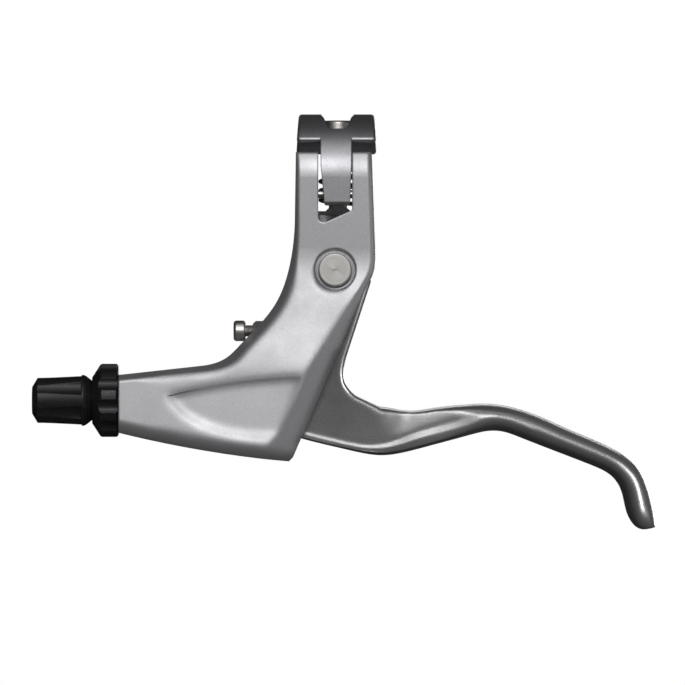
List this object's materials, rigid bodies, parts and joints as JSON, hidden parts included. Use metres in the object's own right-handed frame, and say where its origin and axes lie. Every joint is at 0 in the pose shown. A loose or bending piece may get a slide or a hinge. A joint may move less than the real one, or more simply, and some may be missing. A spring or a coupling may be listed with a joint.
{
  "type": "bicycle brake lever",
  "caption": "Left-hand bicycle brake lever for a cable brake: cranked bracket with a hinged bar clamp, curved finger blade on a pivot axle, reach screw and barrel adjuster with lock ring.",
  "frame": {"origin": "centre of the handlebar bore, in the middle of the clamp", "axes": "+X along the handlebar towards the blade's tip, +Z from the blade to the bar, -Y out of the face that the picture shows"},
  "size_m": [0.166, 0.0425, 0.1107],
  "materials": {
    "silver_paint": "fine metallic silver paint on cast alloy",
    "grey_paint": "darker metallic grey paint on cast alloy",
    "lever_alloy": "satin grey anodised",
    "axle_steel": "satin turned face",
    "steel": "bright zinc plated",
    "spring_steel": "drawn wire",
    "bush_plastic": "bearing plastic",
    "black_plastic": "moulded, fine grain"
  },
  "bodies": {
    "body": {"bracket": "silver_paint", "clamp_cap": "grey_paint", "clamp_hinge_pin": "steel", "clamp_bolt": "steel", "clamp_spring": "spring_steel", "lever_axle": "axle_steel", "axle_washer": "steel", "axle_nut": "steel", "return_spring": "spring_steel"},
    "lever": {"lever_blade": "lever_alloy", "bush_front": "bush_plastic", "bush_rear": "bush_plastic"},
    "reach": {"reach_screw": "steel"},
    "adjuster": {"barrel_adjuster": "black_plastic"},
    "locking_ring": {"lock_ring": "black_plastic"}
  },
  "joints": [
    {"name": "lever_pivot", "type": "hinge", "parent": "body", "child": "lever", "pos_m": [-0.0004, -0.007, -0.0247], "axis": [0, -1, 0], "range_deg": [0, 32], "stiffness_Nm_per_rad": 0.1, "springref_deg": -34.38, "deforming": ["return_spring"]},
    {"name": "reach_travel", "type": "slide", "parent": "body", "child": "reach", "axis": [-1, 0, 0], "range_m": [0, 0.003]},
    {"name": "adjuster_travel", "type": "slide", "parent": "body", "child": "adjuster", "axis": [-1, 0, 0], "range_m": [0, 0.006]},
    {"name": "lock_ring_turn", "type": "hinge", "parent": "body", "child": "locking_ring", "pos_m": [-0.0615, -0.007, -0.0594], "axis": [1, 0, 0], "continuous": true}
  ]
}
